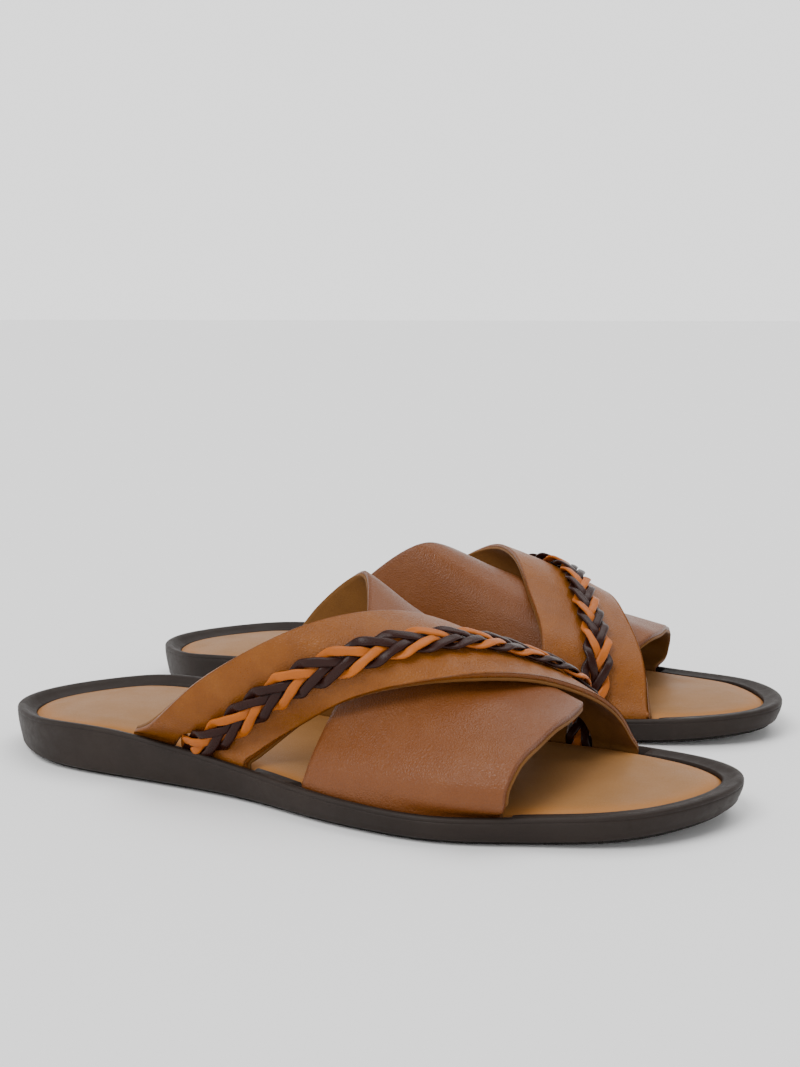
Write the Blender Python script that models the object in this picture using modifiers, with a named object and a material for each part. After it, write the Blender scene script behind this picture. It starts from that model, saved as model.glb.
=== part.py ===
"""A pair of leather cross-strap slide sandals, left and right, standing side by side.

Each sandal is a moulded rubber cup with a thin tread under it, a layered footbed inside the
rim, two leather straps that cross over the instep, and a flat five-strand braid that lies
along the upper strap and dives through an arched slot at each end.  Lengths in the constants
are millimetres in the sandal's own frame: heel tip at x = 0, toes along +X, the outer side of
the foot along -Y, the ground at z = 0.
"""
import math

import bmesh
import bpy
import numpy as np
from mathutils import Matrix, Vector
from mathutils.bvhtree import BVHTree

MM = 0.001

# The pair
PAIR_SPACING = 128.0
LEFT_STAGGER = -8.0

# Sole plan: half widths either side of the foot's axis, at these distances from the heel
SOLE_LENGTH = 290.0
PLAN_STATIONS = (30.0, 75.0, 120.0, 165.0, 205.0, 240.0, 270.0)
OUTER_HALF_WIDTHS = (37.0, 42.0, 45.5, 57.5, 61.0, 51.0, 39.0)
INNER_HALF_WIDTHS = (42.0, 41.5, 40.5, 43.5, 50.0, 43.5, 30.0)
HEEL_TIP_Y = 3.0
TOE_TIP_Y = 8.0
PLAN_STEPS = 24

# Heights along the sole
HEIGHT_STATIONS = (0.0, 60.0, 130.0, 200.0, 250.0, 290.0)
RIM_HEIGHTS = (16.0, 19.0, 12.6, 9.6, 11.2, 14.0)
GROUND_LIFTS = (1.0, 0.0, 0.0, 0.0, 0.9, 4.4)
FOOTBED_DROPS = (3.2, 2.6, 1.0, 0.3, 0.6, 1.6)

# Cup and tread
TREAD_THICKNESS = 2.2
TREAD_INSET = 3.2
LAYER_GAP = 0.3
CUP_FOOT_INSET = 1.6
CUP_FOOT_RADIUS = 1.2
LIP_RADIUS = 0.8
LIP_WIDTH = 3.2
WALL_TOP_INSET = 0.4
WALL_TOP_DROP = 1.92
BEVEL_WIDTH = 4.0
BEVEL_LEAST_DROP = 0.9
BEVEL_TOE_WIDTH = 1.2
BEVEL_TOE_RISE = 0.15
CAVITY_INSET = LIP_WIDTH + BEVEL_WIDTH

# Footbed layers
COVER_THICKNESS = 1.2
FOAM_THICKNESS = 1.9
BOARD_THICKNESS = 1.0
COVER_EDGE_ROUND = 2.6
COVER_EDGE_DROP = 1.82
COVER_EDGE_SECTION = ((0.0, 1.0), (0.3, 0.35), (1.0, 0.0))
FOOTBED_CROWN = 1.2
CROWN_INSET = 14.0
FOAM_EDGE_INSET = 2.0
FOAM_EDGE_DROP = 0.15
FOAM_SLACK = 0.2
LAYER_STACK = COVER_THICKNESS + FOAM_THICKNESS + BOARD_THICKNESS + 3.0 * LAYER_GAP

# Straps
UPPER_THICKNESS = 1.4
LINING_THICKNESS = 1.0
STRAP_INSET = 5.45
STRAP_DEPTH = 3.4
STRAP_LENGTH_STEPS = 20
STRAP_WIDTH_STEPS = 6
FOOT_RISE = 0.5
FOOT_SHARE = 0.25
STRAP_CLEARANCE = 4.2
PRESS_REFINE = 6
PRESS_REACH = 9
OVER_MARGIN = 0.05
PRESS_MARGIN = 0.4
DEEPEST_PRESS = 9.0
POCKET_DEPTH = 5.2
POCKET_SIDE_GAP = 2.8
POCKET_INNER_REACH = 1.0
POCKET_POINTS = 13
CUTTER_OVERRUN = 5.0

BRAID_STRAP_OUTER_BASE = (76.0, 127.0)
BRAID_STRAP_INNER_BASE = (196.0, 245.0)
BRAID_STRAP_REAR_EDGE = ((91.6, -40.9, 28.2), (112.0, -43.0, 43.4), (146.7, -33.4, 62.6),
                         (167.8, -8.2, 64.2), (184.5, 18.4, 54.2), (200.2, 43.5, 34.5))
BRAID_STRAP_FRONT_EDGE = ((138.5, -34.8, 23.0), (165.8, -37.0, 39.4), (203.4, -24.2, 47.3),
                          (225.6, 6.2, 40.6), (240.5, 30.9, 24.5))
PLAIN_STRAP_OUTER_BASE = (152.0, 224.0)
PLAIN_STRAP_INNER_BASE = (87.0, 158.0)
PLAIN_STRAP_REAR_EDGE = ((153.3, -44.5, 18.5), (154.6, -36.5, 27.3), (157.5, -20.0, 44.2),
                         (151.7, 4.4, 64.5), (139.5, 25.3, 72.0), (117.2, 35.0, 57.2))
PLAIN_STRAP_FRONT_EDGE = ((228.6, -48.2, 17.2), (229.9, -44.6, 22.5), (233.3, -29.5, 32.0),
                          (237.2, -9.0, 37.2), (236.4, 4.4, 37.6), (229.3, 16.2, 32.0),
                          (203.0, 26.6, 30.0))
STRAP_BULGE = 1.2

# Braid
STRANDS = 5
DARK_STRANDS = (1, 3, 4)
BRAID_DRIFT = 0.07
BRAID_PITCH = 50.0
BRAID_HALF_TRAVEL = 5.0
BRAID_HALF_DEPTH = 1.3
STRAND_WIDTH = 1.8
STRAND_THICKNESS = 0.9
STEPS_PER_PITCH = 12
BRAID_LIFT = 0.8
BRAID_FOOT_LIFT = 0.1
BRAID_RISE_START = 0.9
BRAID_RISE_HEIGHT = 7.2
BRAID_LINE_POINTS = 241
TURN_SHARPNESS = 0.97
CROSSING_POWER = 0.5
BRAID_END_TRIM = 2.8
SLOT_HALF_WIDTH = 8.8
SLOT_HEIGHT = 18.0
SLOT_CUTTER_LENGTH = 16.0
SLOT_CUTTER_SIDES = 32
FOOT_ROWS = 5


def rail(stations, values, at):
    """Smooth curve through (station, value) pairs, read at the given positions."""
    x = np.asarray(stations, float)
    y = np.asarray(values, float)
    at = np.clip(np.asarray(at, float), x[0], x[-1])
    slope = np.gradient(y, x, axis=0)
    i = np.clip(np.searchsorted(x, at, side="right") - 1, 0, len(x) - 2)
    span = x[i + 1] - x[i]
    t = (at - x[i]) / span
    if y.ndim > 1:
        t = t[:, None]
        span = span[:, None]
    blend = t * t * (3.0 - 2.0 * t)
    return (y[i] * (1.0 - blend) + y[i + 1] * blend
            + span * slope[i] * t * (1.0 - t) ** 2 - span * slope[i + 1] * t * t * (1.0 - t))


def eased(t):
    t = np.clip(t, 0.0, 1.0)
    return t * t * (3.0 - 2.0 * t)


def rim_height(x):
    return rail(HEIGHT_STATIONS, RIM_HEIGHTS, x)


def ground_lift(x):
    return np.maximum(rail(HEIGHT_STATIONS, GROUND_LIFTS, x), 0.0)


def footbed_height(x):
    return rim_height(x) - rail(HEIGHT_STATIONS, FOOTBED_DROPS, x)


def sole_edge(x, side):
    """Y of the rim outline at x, on the outer side (-1) or the inner side (+1)."""
    x = np.asarray(x, float)
    part = np.clip(x / SOLE_LENGTH, 0.0, 1.0)
    roundness = np.sqrt(part * (1.0 - part))
    widths = OUTER_HALF_WIDTHS if side < 0 else INNER_HALF_WIDTHS
    station_part = np.asarray(PLAN_STATIONS) / SOLE_LENGTH
    fullness = np.asarray(widths) / np.sqrt(station_part * (1.0 - station_part))
    axis = HEEL_TIP_Y * (1.0 - part) ** 4 + TOE_TIP_Y * part ** 4
    return axis + side * roundness * rail(PLAN_STATIONS, fullness, x)


def outline(inset):
    """Closed plan outline, moved inward by inset: outer side heel to toe, then back."""
    turn = np.linspace(0.0, math.pi, PLAN_STEPS + 1)
    x = SOLE_LENGTH / 2.0 * (1.0 - np.cos(turn))
    outer = np.stack([x, sole_edge(x, -1)], axis=1)
    inner = np.stack([x, sole_edge(x, 1)], axis=1)[1:-1][::-1]
    ring = np.vstack([outer, inner])
    along = np.roll(ring, -1, axis=0) - np.roll(ring, 1, axis=0)
    along /= np.linalg.norm(along, axis=1)[:, None]
    inward = np.stack([-along[:, 1], along[:, 0]], axis=1)
    return ring + inward * inset


def outline_edge(x, side, inset):
    """Y of the inset outline at x, on one side."""
    ring = outline(inset)
    half = ring[:PLAN_STEPS + 1] if side < 0 else np.vstack([ring[PLAN_STEPS:], ring[:1]])[::-1]
    return np.interp(x, half[:, 0], half[:, 1])


def raised(ring, heights):
    return np.column_stack([ring, heights])


def object_from_mesh(name, mesh, material, parent):
    obj = bpy.data.objects.new(name, mesh)
    parts.objects.link(obj)
    obj.parent = parent
    obj.data.materials.append(material)
    return obj


def mesh_from_rings(name, rings, close_first, close_last):
    """Loft through rings of equal count; an end is closed by quads laid across the sole."""
    bm = bmesh.new()
    loops = [[bm.verts.new(Vector(p) * MM) for p in ring] for ring in rings]
    count = len(loops[0])
    for low, high in zip(loops, loops[1:]):
        for i in range(count):
            j = (i + 1) % count
            bm.faces.new((low[i], low[j], high[j], high[i]))
    for closed, loop in ((close_first, loops[0]), (close_last, loops[-1])):
        if not closed:
            continue
        for i in range(count // 2):
            across = [loop[i], loop[i + 1], loop[-i - 1], loop[-i % count]]
            corners = list(dict.fromkeys(across))
            bm.faces.new(corners if loop is loops[-1] else corners[::-1])
    bmesh.ops.recalc_face_normals(bm, faces=bm.faces)
    bm.normal_update()
    if not close_first and sum(face.normal.z for face in bm.faces) < 0.0:
        bmesh.ops.reverse_faces(bm, faces=bm.faces)
    mesh = bpy.data.meshes.new(name)
    bm.to_mesh(mesh)
    bm.free()
    return mesh


def mesh_from_grid(name, grid):
    """Open sheet through a grid of points, rows along the first index."""
    bm = bmesh.new()
    rows, columns = grid.shape[:2]
    verts = [[bm.verts.new(Vector(grid[r, c]) * MM) for c in range(columns)] for r in range(rows)]
    for r in range(rows - 1):
        for c in range(columns - 1):
            bm.faces.new((verts[r][c], verts[r + 1][c], verts[r + 1][c + 1]))
            bm.faces.new((verts[r][c], verts[r + 1][c + 1], verts[r][c + 1]))
    mesh = bpy.data.meshes.new(name)
    bm.to_mesh(mesh)
    bm.free()
    return mesh


def thicken(obj, thickness, offset):
    solid = obj.modifiers.new("thickness", "SOLIDIFY")
    solid.thickness = thickness * MM
    solid.offset = offset


def cut(obj, cutter):
    boolean = obj.modifiers.new("cut", "BOOLEAN")
    boolean.operation = "DIFFERENCE"
    boolean.solver = "EXACT"
    boolean.object = cutter


def hide_cutter(obj):
    obj.hide_render = True
    obj.display_type = "WIRE"
    cutters.objects.link(obj)


def make_material(name, colour, roughness):
    material = bpy.data.materials.new(name)
    material.use_nodes = True
    shader = material.node_tree.nodes["Principled BSDF"]
    shader.inputs["Base Color"].default_value = (*colour, 1.0)
    shader.inputs["Roughness"].default_value = roughness
    shader.inputs["Metallic"].default_value = 0.0
    return material


def make_tread(parent):
    """Thin rubber plate under the cup, lifting at the toe."""
    ring = outline(TREAD_INSET)
    top = ground_lift(ring[:, 0]) + TREAD_THICKNESS
    mesh = mesh_from_rings("tread_plate", [raised(ring, top)], False, True)
    tread = object_from_mesh("right_tread_plate", mesh, materials["tread_rubber"], parent)
    thicken(tread, TREAD_THICKNESS, -1.0)
    return tread


def cup_rings():
    """Section of the cup from its underside, up the wall, over the lip and down to its floor."""
    foot = outline(CUP_FOOT_INSET + CUP_FOOT_RADIUS)
    under = ground_lift(foot[:, 0]) + TREAD_THICKNESS + LAYER_GAP
    rim = rim_height(outline(0.0)[:, 0])
    wall = outline(0.0)
    bevel_foot = rim - np.maximum(rim - footbed_height(wall[:, 0]), BEVEL_LEAST_DROP)
    cavity = outline(CAVITY_INSET)
    floor = footbed_height(cavity[:, 0]) - LAYER_STACK
    rings = [raised(foot, under)]
    rings.append(raised(outline(CUP_FOOT_INSET), under + CUP_FOOT_RADIUS))
    rings.append(raised(outline(WALL_TOP_INSET), rim - WALL_TOP_DROP))
    rings.append(raised(wall, rim - LIP_RADIUS))
    rings.append(raised(outline(LIP_RADIUS), rim))
    rings.append(raised(outline(LIP_WIDTH - LIP_RADIUS), rim))
    rings.append(raised(outline(LIP_WIDTH), rim - LIP_RADIUS / 2.0))
    rings.append(raised(outline(CAVITY_INSET - BEVEL_TOE_WIDTH), bevel_foot + BEVEL_TOE_RISE))
    rings.append(raised(cavity, bevel_foot))
    rings.append(raised(cavity, floor))
    return rings


def make_pocket_cutter(name, side, base):
    """Slot-shaped cutter behind the lip, where the foot of a strap goes down into the cup."""
    x = np.linspace(base[0] - POCKET_SIDE_GAP, base[1] + POCKET_SIDE_GAP, POCKET_POINTS)
    outer = np.stack([x, outline_edge(x, side, LIP_WIDTH)], axis=1)
    inner = np.stack([x, outline_edge(x, side, CAVITY_INSET + POCKET_INNER_REACH)], axis=1)
    bottom = rim_height(x) - POCKET_DEPTH
    grid = np.stack([raised(outer, bottom), raised(inner, bottom)], axis=1)
    if side > 0:
        grid = grid[::-1]
    pocket = bpy.data.objects.new(name, mesh_from_grid(name, grid))
    thicken(pocket, POCKET_DEPTH + CUTTER_OVERRUN, 1.0)
    hide_cutter(pocket)
    return pocket


def make_cup(parent):
    mesh = mesh_from_rings("cup_sole", cup_rings(), True, True)
    cup = object_from_mesh("right_cup_sole", mesh, materials["sole_rubber"], parent)
    places = ((-1, BRAID_STRAP_OUTER_BASE), (1, BRAID_STRAP_INNER_BASE),
              (-1, PLAIN_STRAP_OUTER_BASE), (1, PLAIN_STRAP_INNER_BASE))
    for number, (side, base) in enumerate(places):
        pocket = make_pocket_cutter(f"pocket_cutter_{number}", side, base)
        pocket.parent = parent
        cut(cup, pocket)
    return cup


def cover_rings():
    """Rings of the cover's top face, over its rounded edge and up to near its middle."""
    rings = []
    inset = CAVITY_INSET + LAYER_GAP
    for travel, sink in COVER_EDGE_SECTION:
        ring = outline(inset + COVER_EDGE_ROUND * travel)
        rings.append(raised(ring, footbed_height(ring[:, 0]) - COVER_EDGE_DROP * sink))
    middle = outline(inset + CROWN_INSET)
    rings.append(raised(middle, footbed_height(middle[:, 0]) + FOOTBED_CROWN))
    return rings


def make_footbed(parent):
    """Fibre board, foam and the rounded leather cover over them."""
    mesh = mesh_from_rings("insole_cover", cover_rings(), False, True)
    cover = object_from_mesh("right_insole_cover", mesh, materials["footbed_leather"], parent)
    thicken(cover, COVER_THICKNESS, -1.0)

    foam_drop = COVER_THICKNESS + LAYER_GAP
    edge = outline(CAVITY_INSET + LAYER_GAP + foam_drop + FOAM_EDGE_INSET)
    middle = outline(CAVITY_INSET + LAYER_GAP + CROWN_INSET)
    foam_sheet = [raised(edge, footbed_height(edge[:, 0]) - foam_drop - FOAM_EDGE_DROP),
                  raised(middle, footbed_height(middle[:, 0]) - foam_drop + FOOTBED_CROWN - FOAM_SLACK / 2.0)]
    mesh = mesh_from_rings("footbed_foam", foam_sheet, False, True)
    foam = object_from_mesh("right_footbed_foam", mesh, materials["foam"], parent)
    thicken(foam, FOAM_THICKNESS - FOAM_SLACK, -1.0)

    board_ring = outline(CAVITY_INSET + LAYER_GAP)
    board_top = footbed_height(board_ring[:, 0]) - foam_drop - FOAM_THICKNESS - LAYER_GAP
    mesh = mesh_from_rings("insole_board", [raised(board_ring, board_top)], False, True)
    board = object_from_mesh("right_insole_board", mesh, materials["fibre_board"], parent)
    thicken(board, BOARD_THICKNESS, -1.0)


def edge_points(side_bases, free_points):
    """A strap edge from its foot in the outer pocket, through its free points, to the inner."""
    points = []
    for side, x in side_bases:
        y = outline_edge(x, side, STRAP_INSET)
        rim = float(rim_height(x))
        mouth = np.array((x, y, rim + FOOT_RISE))
        first = np.array(free_points[0 if side < 0 else -1])
        foot = [(x, y, rim - STRAP_DEPTH), mouth, mouth + (first - mouth) * FOOT_SHARE]
        points.append(foot if side < 0 else foot[::-1])
    return np.array(points[0] + list(free_points) + points[1], float)


def read_edge(points, fraction):
    steps = np.linalg.norm(np.diff(points, axis=0), axis=1)
    along = np.concatenate([[0.0], np.cumsum(steps)])
    return rail(along / along[-1], points, fraction)


def strap_grid(outer_base, inner_base, rear_edge, front_edge, along, across):
    """Middle surface of a strap, read at fractions of its length and of its width."""
    rear = read_edge(edge_points(((-1, outer_base[0]), (1, inner_base[0])), rear_edge), along)
    front = read_edge(edge_points(((-1, outer_base[1]), (1, inner_base[1])), front_edge), along)
    v = across[None, :, None]
    grid = rear[:, None, :] * (1.0 - v) + front[:, None, :] * v
    for side, base, nearness in ((-1, outer_base, 1.0 - along), (1, inner_base, along)):
        x = base[0] + (base[1] - base[0]) * across
        straight = grid[0 if side < 0 else -1]
        rim_row = np.stack([x, outline_edge(x, side, STRAP_INSET), rim_height(x) - STRAP_DEPTH], axis=1)
        pull = eased(nearness * 2.0 - 1.0)
        grid = grid + pull[:, None, None] * (rim_row - straight)[None]
    arch = np.sin(math.pi * along)[:, None] * (4.0 * across * (1.0 - across))[None, :]
    grid[:, :, 2] += STRAP_BULGE * arch
    return grid


def grid_normals(grid):
    """Unit normals of a sheet, pointing up and outward."""
    normals = np.cross(np.gradient(grid, axis=1), np.gradient(grid, axis=0))
    normals /= np.linalg.norm(normals, axis=2)[:, :, None]
    return -normals if normals[len(normals) // 2, 0, 2] < 0 else normals


def braid_strap_sheet(along, across):
    return strap_grid(BRAID_STRAP_OUTER_BASE, BRAID_STRAP_INNER_BASE, BRAID_STRAP_REAR_EDGE,
                      BRAID_STRAP_FRONT_EDGE, along, across)


def spread(values, reach, combine):
    """Combine each value of a grid with its neighbours, along and then across."""
    for axis in (0, 1):
        size = values.shape[axis]
        at = np.arange(size)
        values = combine([np.take(values, np.clip(at + k, 0, size - 1), axis=axis)
                          for k in range(-reach, reach + 1)], axis=0)
    return values


def press_under(grid, over):
    """Move a sheet inward, in one smooth dip, wherever it would touch the strap over it."""
    tree = BVHTree.FromPolygons([tuple(p) for p in over.reshape(-1, 3)], quads(over.shape))
    push = np.zeros(grid.shape[:2])
    inward = np.zeros(grid.shape)
    for r, c in np.ndindex(*push.shape):
        point = Vector(grid[r, c])
        near, into, _, _ = tree.find_nearest(point)
        above = (near - point).dot(into)
        aside = (point - near + into * above).length
        inward[r, c] = into
        if aside < PRESS_MARGIN and abs(above) < DEEPEST_PRESS:
            push[r, c] = max(0.0, above + STRAP_CLEARANCE)
    push = spread(push, PRESS_REACH, np.max)
    for _ in range(3):
        push = spread(push, PRESS_REACH // 3, np.mean)
        inward = spread(inward, PRESS_REACH // 3, np.mean)
    inward /= np.linalg.norm(inward, axis=2)[:, :, None]
    return grid + inward * push[:, :, None]


def quads(shape):
    rows, columns = shape[:2]
    cells = [(r * columns + c) for r in range(rows - 1) for c in range(columns - 1)]
    return [(k, k + columns, k + columns + 1, k + 1) for k in cells]


def make_strap(name, grid, leather, parent, slots):
    """Upper leather and lining either side of a strap's middle surface."""
    normals = grid_normals(grid)
    layers = (("upper", 1.0, UPPER_THICKNESS, leather),
              ("lining", -1.0, LINING_THICKNESS, "lining_leather"))
    for layer, side, thickness, material in layers:
        sheet = grid + normals * side * (LAYER_GAP + thickness) / 2.0
        mesh = mesh_from_grid(f"{name}_{layer}", sheet)
        strap = object_from_mesh(f"right_{name}_{layer}", mesh, materials[material], parent)
        thicken(strap, thickness, 0.0)
        for slot in slots:
            cut(strap, slot)


def make_slot_cutter(name, grid, normals, end, parent):
    """Elliptical cutter for the arched slot at one foot of the braid strap."""
    middle = grid.shape[1] // 2
    rows = grid[:, middle] if end < 0 else grid[::-1, middle]
    facing = normals[:, middle] if end < 0 else normals[::-1, middle]
    rim = float(rim_height(rows[0, 0]))
    height = np.linspace(rim, rim + SLOT_HEIGHT, 3)
    foot = rows[:FOOT_ROWS]
    level = [np.array([np.interp(z, foot[:, 2], foot[:, k]) for k in range(3)]) for z in height]
    up = Vector(level[2] - level[0]).normalized()
    out = Vector(facing[1])
    side = up.cross(out).normalized()
    out = side.cross(up)
    turn = Matrix((side, up, out)).transposed().to_4x4()
    bpy.ops.mesh.primitive_cylinder_add(vertices=SLOT_CUTTER_SIDES, radius=1.0, depth=1.0)
    slot = bpy.context.object
    bpy.context.collection.objects.unlink(slot)
    slot.name = name
    size = Matrix.Diagonal((SLOT_HALF_WIDTH * MM, SLOT_HEIGHT * MM, SLOT_CUTTER_LENGTH * MM, 1.0))
    slot.data.transform(Matrix.Translation(Vector(level[0]) * MM) @ turn @ size)
    hide_cutter(slot)
    slot.parent = parent
    return slot


def along_share(grid, across, share):
    """For each row of a sheet, its value at that row's own share of the width."""
    return np.array([[np.interp(at, across, row[:, k]) for k in range(3)] for at, row in zip(share, grid)])


def braid_line():
    """Middle line of the braid with its sideways and outward directions."""
    along = np.linspace(0.0, 1.0, BRAID_LINE_POINTS)
    across = np.linspace(0.4, 0.7, 7)
    sheet = braid_strap_sheet(along, across)
    middle = 0.5 + BRAID_DRIFT * np.sin(math.pi * along)
    line = along_share(sheet, across, middle)
    normals = along_share(grid_normals(sheet), across, middle)
    above = line[:, 2] - rim_height(line[:, 0])
    outside = LAYER_GAP / 2.0 + UPPER_THICKNESS + LAYER_GAP + BRAID_HALF_DEPTH + STRAND_THICKNESS / 2.0
    lift = eased((above - BRAID_RISE_START) / BRAID_RISE_HEIGHT) * (outside + BRAID_LIFT) + BRAID_FOOT_LIFT
    line = line + normals * lift[:, None]
    heading = np.gradient(line, axis=0)
    sideways = np.cross(heading, normals)
    sideways /= np.linalg.norm(sideways, axis=1)[:, None]
    outward = np.cross(sideways, heading)
    outward /= np.linalg.norm(outward, axis=1)[:, None]
    steps = np.linalg.norm(np.diff(line, axis=0), axis=1)
    length = np.concatenate([[0.0], np.cumsum(steps)])
    return length, line, sideways, outward


def strand_positions(total, strand):
    """Distances along the braid of a strand's points: each turn and crossing, and both ends."""
    step = BRAID_PITCH / STEPS_PER_PITCH
    shift = (strand * BRAID_PITCH / STRANDS) % step
    first = BRAID_END_TRIM
    last = total - BRAID_END_TRIM
    inside = np.arange(step - shift, total, step)
    inside = inside[(inside > first + step / 3.0) & (inside < last - step / 3.0)]
    return np.concatenate([[first], inside, [last]])


def make_braid(parent):
    """Five flat strands, each crossing over two and under two of the others."""
    length, *directions = braid_line()
    for strand in range(STRANDS):
        at = strand_positions(length[-1], strand)
        line, sideways, outward = (
            np.stack([np.interp(at, length, values[:, k]) for k in range(3)], axis=1)
            for values in directions)
        phase = at / BRAID_PITCH + strand / STRANDS
        swing = np.arcsin(TURN_SHARPNESS * np.cos(2.0 * math.pi * phase)) / math.asin(TURN_SHARPNESS)
        depth = np.sin(4.0 * math.pi * phase)
        depth = np.sign(depth) * np.abs(depth) ** CROSSING_POWER
        centre = (line + sideways * (BRAID_HALF_TRAVEL * swing)[:, None]
                  + outward * (BRAID_HALF_DEPTH * depth)[:, None])
        heading = np.gradient(centre, axis=0)
        width_way = np.cross(heading, outward)
        width_way *= STRAND_WIDTH / 2.0 / np.linalg.norm(width_way, axis=1)[:, None]
        ribbon = np.stack([centre - width_way, centre + width_way], axis=1)
        mesh = mesh_from_grid(f"braid_strand_{strand + 1}", ribbon)
        look = "dark_strand_leather" if strand in DARK_STRANDS else "orange_strand_leather"
        piece = object_from_mesh(f"right_braid_strand_{strand + 1}", mesh, materials[look], parent)
        thicken(piece, STRAND_THICKNESS, 0.0)


def make_straps(parent):
    along = np.linspace(0.0, 1.0, STRAP_LENGTH_STEPS + 1)
    across = np.linspace(0.0, 1.0, STRAP_WIDTH_STEPS + 1)
    braid_sheet = braid_strap_sheet(along, across)
    normals = grid_normals(braid_sheet)
    slots = [make_slot_cutter("slot_cutter_outer", braid_sheet, normals, -1, parent),
             make_slot_cutter("slot_cutter_inner", braid_sheet, normals, 1, parent)]
    make_strap("braid_strap", braid_sheet, "golden_leather", parent, slots)
    fine_along = np.linspace(0.0, 1.0, STRAP_LENGTH_STEPS * PRESS_REFINE + 1)
    fine_across = np.linspace(0.0, 1.0, STRAP_WIDTH_STEPS * PRESS_REFINE + 1)
    over = braid_strap_sheet(fine_along, OVER_MARGIN * (2.0 * fine_across - 1.0) + fine_across)
    under = strap_grid(PLAIN_STRAP_OUTER_BASE, PLAIN_STRAP_INNER_BASE, PLAIN_STRAP_REAR_EDGE,
                       PLAIN_STRAP_FRONT_EDGE, fine_along, fine_across)
    plain_sheet = press_under(under, over)[::PRESS_REFINE, ::PRESS_REFINE]
    make_strap("plain_strap", plain_sheet, "brown_leather", parent, ())


def mirror_copy(right_parent, left_parent):
    """The left sandal: the same pieces and cutters, mirrored through their parent's scale."""
    twins = {}
    originals = list(right_parent.children)
    for obj in originals:
        twin = obj.copy()
        is_part = obj.name.startswith("right_")
        twin.name = obj.name.replace("right_", "left_", 1) if is_part else f"{obj.name}_left"
        twin.parent = left_parent
        home = parts if is_part else cutters
        home.objects.link(twin)
        twins[obj.name] = twin
    for obj in originals:
        twin = twins[obj.name]
        for modifier in twin.modifiers:
            if modifier.type == "BOOLEAN":
                modifier.object = twins[modifier.object.name]


for old in list(bpy.data.objects):
    bpy.data.objects.remove(old, do_unlink=True)

parts = bpy.data.collections.new("cross_strap_sandals")
cutters = bpy.data.collections.new("cutters")
bpy.context.scene.collection.children.link(parts)
bpy.context.scene.collection.children.link(cutters)

materials = {
    "tread_rubber": make_material("tread_rubber", (0.030, 0.026, 0.024), 0.80),
    "sole_rubber": make_material("sole_rubber", (0.045, 0.036, 0.030), 0.55),
    "fibre_board": make_material("fibre_board", (0.350, 0.250, 0.160), 0.85),
    "foam": make_material("foam", (0.550, 0.480, 0.380), 0.90),
    "footbed_leather": make_material("footbed_leather", (0.420, 0.230, 0.110), 0.50),
    "golden_leather": make_material("golden_leather", (0.300, 0.120, 0.030), 0.42),
    "brown_leather": make_material("brown_leather", (0.270, 0.110, 0.045), 0.45),
    "lining_leather": make_material("lining_leather", (0.240, 0.120, 0.040), 0.60),
    "dark_strand_leather": make_material("dark_strand_leather", (0.050, 0.022, 0.014), 0.35),
    "orange_strand_leather": make_material("orange_strand_leather", (0.480, 0.180, 0.050), 0.42),
}

right = bpy.data.objects.new("right_sandal", None)
left = bpy.data.objects.new("left_sandal", None)
for empty in (right, left):
    parts.objects.link(empty)
start_x = -(SOLE_LENGTH + LEFT_STAGGER) / 2.0
right.location = Vector((start_x, -PAIR_SPACING / 2.0, 0.0)) * MM
left.location = Vector((start_x + LEFT_STAGGER, PAIR_SPACING / 2.0, 0.0)) * MM
left.scale = (1.0, -1.0, 1.0)

make_tread(right)
make_cup(right)
make_footbed(right)
make_straps(right)
make_braid(right)
mirror_copy(right, left)
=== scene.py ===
"""Looks of the sandal pair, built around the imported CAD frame.

Lengths below are millimetres in one sandal's own frame: heel tip at x = 0, toes along +X, the
outer side of the foot along -Y, the ground at z = 0.  Each finished mesh is placed in the
pair's frame, and the left sandal's meshes are mirrored.
"""
import math

import bmesh
import bpy
import numpy as np
from mathutils import Matrix, Vector, noise
from mathutils.bvhtree import BVHTree


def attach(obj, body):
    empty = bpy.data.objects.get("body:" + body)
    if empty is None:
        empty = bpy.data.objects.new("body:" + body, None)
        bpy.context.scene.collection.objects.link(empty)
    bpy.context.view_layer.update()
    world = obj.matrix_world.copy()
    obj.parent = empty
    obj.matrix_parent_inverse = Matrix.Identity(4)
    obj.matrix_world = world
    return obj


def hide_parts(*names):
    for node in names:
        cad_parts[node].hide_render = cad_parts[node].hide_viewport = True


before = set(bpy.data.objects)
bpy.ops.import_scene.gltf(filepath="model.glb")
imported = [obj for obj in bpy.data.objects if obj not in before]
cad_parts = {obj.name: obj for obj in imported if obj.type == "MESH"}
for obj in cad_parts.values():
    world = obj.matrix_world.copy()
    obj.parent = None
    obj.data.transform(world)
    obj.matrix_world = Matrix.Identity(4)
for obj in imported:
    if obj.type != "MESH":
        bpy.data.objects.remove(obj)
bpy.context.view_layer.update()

MM = 0.001
SOLE_LENGTH = 290.0
PAIR_SPACING = 128.0
LEFT_STAGGER = -8.0
START_X = -(SOLE_LENGTH + LEFT_STAGGER) / 2.0

PLAN_STATIONS = (30.0, 75.0, 120.0, 165.0, 205.0, 240.0, 270.0)
OUTER_HALF_WIDTHS = (37.0, 42.0, 45.5, 57.5, 61.0, 51.0, 39.0)
INNER_HALF_WIDTHS = (42.0, 41.5, 40.5, 43.5, 50.0, 43.5, 30.0)
HEEL_TIP_Y = 3.0
TOE_TIP_Y = 8.0

HEIGHT_STATIONS = (0.0, 60.0, 130.0, 200.0, 250.0, 290.0)
RIM_HEIGHTS = (16.0, 19.0, 12.6, 9.6, 11.2, 14.0)
GROUND_LIFTS = (1.0, 0.0, 0.0, 0.0, 0.9, 4.4)
FOOTBED_DROPS = (3.2, 2.6, 1.0, 0.3, 0.6, 1.6)

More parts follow.
